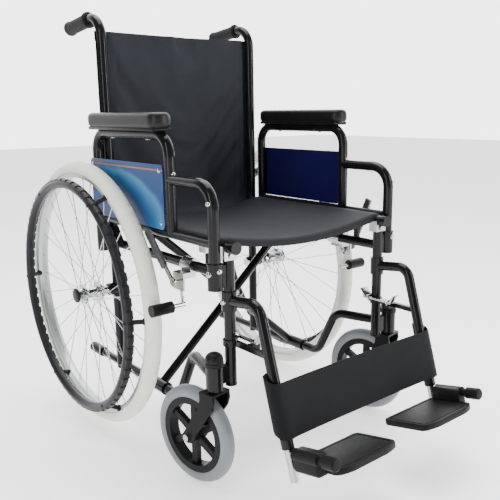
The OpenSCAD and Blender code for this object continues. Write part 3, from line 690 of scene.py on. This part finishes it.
for name, s in sideNames:
    handrim(name, s)
    tyre(name, s)
    hubCap(name, s)
print("handrims, tyres and hub caps done")

# bolt heads on one side: where, which way the head faces, radius, the body it rides on
boltPlaces = [
    ((0.2538, -0.236, 0.428), (1, 0, 0), 0.0062, "frame_"),
    ((0.240, -0.2498, 0.434), (0, -1, 0), 0.0055, "frame_"),
    ((0.2232, -0.236, 0.371), (1, 0, 0), 0.0065, "footrest_hanger_"),
    ((0.2195, -0.030, 0.418), (1, 0, 0), 0.0055, "frame_"),
    ((0.2508, -0.236, 0.556), (1, 0, 0), 0.0045, "armrest_"),
    ((0.240, -0.1078, 0.600), (0, -1, 0), 0.0045, "armrest_"),
]
ringDim = {"socketAt": (0.240, -0.236, 0.4435), "socketRound": 0.0152,
           "dustAt": (0.250, -0.239, 0.2525), "dustRound": 0.0182}
latchDim = {"paddleHalf": 0.011, "paddle": (-0.004, 0.032), "paddleRise": 46, "keeperHalf": 0.009,
            "keeper": (-0.028, 0.004), "keeperRise": -52, "wall": 0.0011, "lift": 0.001}


def boltHeads(name, s):
    for i, ((x, y, z), (wayX, wayY, wayZ), r, body) in enumerate(boltPlaces):
        dome = [(-0.001, r), (0.0018, r), (0.0034, r * 0.82), (0.0044, r * 0.4)]
        head = turned((s * x, y, z), (s * wayX, wayY, wayZ), dome, 20)
        settle(head, f"boltHead{name.title()}{i}", zincPlate, body + name)


def seamRings(name, s):
    # on the front socket's mouth and under the caster's dust cap
    x, y, z = ringDim["socketAt"]
    settle(collar((s * x, y, z), ringDim["socketRound"]), "socketRing" + name.title(),
           frameGloss, "frame_" + name)
    x, y, z = ringDim["dustAt"]
    settle(collar((s * x, y, z), ringDim["dustRound"]), "dustCapRing" + name.title(),
           capPlastic, "frame_" + name)


def latchWings(name):
    # thumb paddle of the sprung latch, and the bent guide ahead of its pin
    low, high = bounded("hanger_latch_" + name)
    x, top = (low.x + high.x) / 2, high.z + latchDim["lift"]
    for title, y, part in (("Paddle", high.y - 0.008, "paddle"), ("Keeper", low.y - 0.002, "keeper")):
        half, (back, front), wall = latchDim[part + "Half"], latchDim[part], latchDim["wall"]
        wing = cubeAt((-half, back, -wall), (half, front, wall))
        wing.location = (x, y, top)
        wing.rotation_euler = (math.radians(latchDim[part + "Rise"]), 0, 0)
        rounded(wing, 0.0009, 2)
        settle(wing, "latch" + title + name.title(), zincPlate, "latch_" + name)


for name, s in sideNames:
    boltHeads(name, s)
    seamRings(name, s)
    latchWings(name)
print("small fittings done")

panelDim = {"corner": 0.010, "screwIn": 0.013, "screwDown": 0.012}


def sidePanel(name, s):
    # plastic guard: printed on the outside, plain navy inside
    low, high = bounded("side_panel_" + name)
    panel = cubeAt(low, high)
    bpy.ops.object.mode_set(mode="EDIT")
    pickEdges(panel, lambda a, b: abs((a - b).normalized().x) > 0.9)
    bpy.ops.mesh.bevel(offset=panelDim["corner"], segments=5)
    bpy.ops.object.mode_set(mode="OBJECT")
    panel.data.materials.append(panelNavy)
    panel.data.materials.append(panelPrint)
    for f in panel.data.polygons:
        f.material_index = 1 if f.normal.x * s > 0.5 else 0
    settle(panel, "sidePanel" + name.title(), None, "armrest_" + name, 30)
    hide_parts("side_panel_" + name)
    outside = high.x if s > 0 else low.x
    ys = (low.y + panelDim["screwIn"], high.y - panelDim["screwIn"])
    zs = (high.z - panelDim["screwDown"], low.z + panelDim["screwDown"])
    for i, (z, y) in enumerate((z, y) for z in zs for y in ys):
        settle(screwHead((outside, y, z), (s, 0, 0)), f"panelScrew{name.title()}{i}",
               zincPlate, "armrest_" + name)


for name, s in sideNames:
    sidePanel(name, s)
print("panels done")

# footplate, drawn flat about its own pin with the front at -Y
footDim = {"innerX": 0.039, "outerX": -0.011, "back": -0.004, "front": -0.104,
           "top": -0.015, "bottom": -0.027, "nose": 0.010, "noseNarrow": 0.62,
           "corner": 0.011, "edge": 0.0022, "slope": -13,
           "tread": ((0.0055, 0), (0.0008, -0.0014), (0.0016, 0), (0.0008, 0.0012)),
           "noseShift": 0.008, "barrelFrom": -0.0145, "knobFrom": -0.0806,
           "blockX": (-0.021, 0.009), "blockY": (-0.080, -0.014), "blockZ": (-0.030, 0.0105),
           "barrel": [(0, 0.0095), (0.0015, 0.0115), (0.064, 0.0115), (0.0655, 0.0095)],
           "knob": [(0, 0.0078), (0.009, 0.0078), (0.0095, 0.0105), (0.0105, 0.0118), (0.016, 0.0118),
                    (0.0367, 0.0118), (0.0391, 0.0095), (0.0397, 0.004)]}


def footPlate(name, s):
    # tread with a pointed nose and a recessed border
    pin = Vector(jointByName["footplate_flip_" + name]["pos_m"])
    xs = sorted((s * (footDim["innerX"] - abs(pin.x)), s * footDim["outerX"]))
    nose = footDim["front"] - footDim["nose"]
    plate = cubeAt((xs[0], footDim["front"], footDim["bottom"]), (xs[1], footDim["back"], footDim["top"]))
    bpy.ops.object.mode_set(mode="EDIT")
    pickFaces(plate, lambda f: f.normal.y < -0.9)
    bpy.ops.mesh.extrude_region_move(TRANSFORM_OT_translate={"value": (0, -footDim["nose"], 0)})
    noseMid = ((xs[0] + xs[1]) / 2 + s * footDim["noseShift"], nose, footDim["top"])
    bpy.ops.transform.resize(value=(footDim["noseNarrow"], 1, 1), center_override=noseMid)
    bpy.ops.mesh.select_all(action="SELECT")
    bpy.ops.mesh.dissolve_limited(angle_limit=0.02)
    pickEdges(plate, lambda a, b: abs((a - b).normalized().z) > 0.9)
    bpy.ops.mesh.bevel(offset=footDim["corner"], segments=6)
    pickEdges(plate, lambda a, b: min(a.z, b.z) > footDim["top"] - 0.0005
              or max(a.z, b.z) < footDim["bottom"] + 0.0005)
    bpy.ops.mesh.bevel(offset=footDim["edge"], segments=3)
    pickFaces(plate, lambda f: f.normal.z > 0.99)
    for inset, depth in footDim["tread"]:
        bpy.ops.mesh.inset(thickness=inset, depth=depth, use_even_offset=False)
    bpy.ops.object.mode_set(mode="OBJECT")
    blockXs = sorted(s * x for x in footDim["blockX"])
    corners = list(zip(blockXs, footDim["blockY"], footDim["blockZ"]))
    block = cubeAt(*corners)
    rounded(block, 0.007, 5)
    barrel = turned((0, footDim["barrelFrom"], 0), (0, -1, 0), footDim["barrel"], 36)
    knob = turned((0, footDim["knobFrom"], 0), (0, -1, 0), footDim["knob"], 36)
    whole = joined(plate, block, barrel, knob)
    whole.rotation_euler = (math.radians(footDim["slope"]), 0, 0)
    whole.location = pin
    settle(whole, "footplate" + name.title(), plateBlack, "plate_" + name)
    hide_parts("footplate_" + name)


for name, s in sideNames:
    footPlate(name, s)
print("footplates done")

# the left lever is pushed forward to hold its wheel, the right one is off
leverDim = {"lean": {"right": 46, "left": 112}, "start": 0.036, "end": 0.127, "half": 0.008,
            "across": (0.2534, 0.2626), "pinX": 0.256,
            "ribs": 7, "ribFrom": 0.018, "ribStep": 0.009, "rib": 0.004}


def brakeGrip(name, s):
    # flat plastic sleeve with ribs across it
    a, b = sorted(s * (x - leverDim["pinX"]) for x in leverDim["across"])
    half, start = leverDim["half"], leverDim["start"]
    grip = cubeAt((a, start, -half), (b, leverDim["end"], half))
    rounded(grip, 0.0028, 4)
    ribs = []
    for k in range(leverDim["ribs"]):
        y = start + leverDim["ribFrom"] + leverDim["ribStep"] * k
        rib = cubeAt((a - 0.0001, y, -half - 0.0004), (b + 0.0001, y + leverDim["rib"], half + 0.0004))
        rounded(rib, 0.0016, 2)
        ribs.append(rib)
    whole = joined(grip, *ribs)
    whole.rotation_euler = (math.radians(leverDim["lean"][name]), 0, 0)
    whole.location = jointByName["brake_lever_" + name]["pos_m"]
    settle(whole, "brakeGrip" + name.title(), leverPlastic, "brake_handle_" + name)
    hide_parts("brake_grip_" + name)


for name, s in sideNames:
    brakeGrip(name, s)
print("brake grips done")

floorDim = {"size": 24, "glow": 0.75}
bpy.ops.mesh.primitive_plane_add(size=floorDim["size"], location=(0, 0, 0))
floor = bpy.context.object
floor.name = "floor"
floorWhite = bpy.data.materials.new("floorWhite")
floorWhite.use_nodes = True
floorSurface = floorWhite.node_tree.nodes["Principled BSDF"]
floorSurface.inputs["Base Color"].default_value = (0.98, 0.98, 0.98, 1)
floorSurface.inputs["Roughness"].default_value = 0.8
floorSurface.inputs["Emission Color"].default_value = (1, 1, 1, 1)
floorSurface.inputs["Emission Strength"].default_value = floorDim["glow"]
floor.data.materials.append(floorWhite)


def softbox(name, spot, target, width, height, power):
    data = bpy.data.lights.new(name, "AREA")
    data.shape, data.size, data.size_y, data.energy = "RECTANGLE", width, height, power
    lamp = bpy.data.objects.new(name, data)
    bpy.context.collection.objects.link(lamp)
    lamp.location = spot
    lamp.rotation_euler = (Vector(target) - Vector(spot)).to_track_quat("-Z", "Y").to_euler()


# two tall strips give the tubes their long highlights: spot, target height, width, height, power
lightDim = {"leftBox": ((-2.6, -1.0, 1.35), 0.7, 0.35, 2.5, 46),
            "rightBox": ((1.5, -2.6, 1.35), 0.7, 0.35, 2.5, 84),
            "topBox": ((0, 0.3, 3.2), 0.4, 2.2, 2.2, 120)}
for lampName, (spot, aimZ, width, height, power) in lightDim.items():
    softbox(lampName, spot, (0, 0, aimZ), width, height, power)

# bright wall behind the chair, dimmer round the rest of the room
studioDim = {"towards": (0.62, 0.77, 0.15), "fadeFrom": 0.1, "fadeTo": 0.75, "dim": 0.16, "bright": 4.2}
world = bpy.data.worlds.new("studio")
bpy.context.scene.world = world
world.use_nodes = True
sky = world.node_tree
back = sky.nodes["Background"]
look = sky.nodes.new("ShaderNodeTexCoord")
facing = sky.nodes.new("ShaderNodeVectorMath")
facing.operation = "DOT_PRODUCT"
facing.inputs[1].default_value = studioDim["towards"]
sky.links.new(look.outputs["Generated"], facing.inputs[0])
fade = sky.nodes.new("ShaderNodeMapRange")
fade.interpolation_type = "SMOOTHSTEP"
fade.inputs["From Min"].default_value = studioDim["fadeFrom"]
fade.inputs["From Max"].default_value = studioDim["fadeTo"]
fade.inputs["To Min"].default_value = studioDim["dim"]
fade.inputs["To Max"].default_value = studioDim["bright"]
sky.links.new(facing.outputs["Value"], fade.inputs["Value"])
sky.links.new(fade.outputs["Result"], back.inputs["Strength"])
back.inputs["Color"].default_value = (1, 1, 1, 1)
print("stage done")
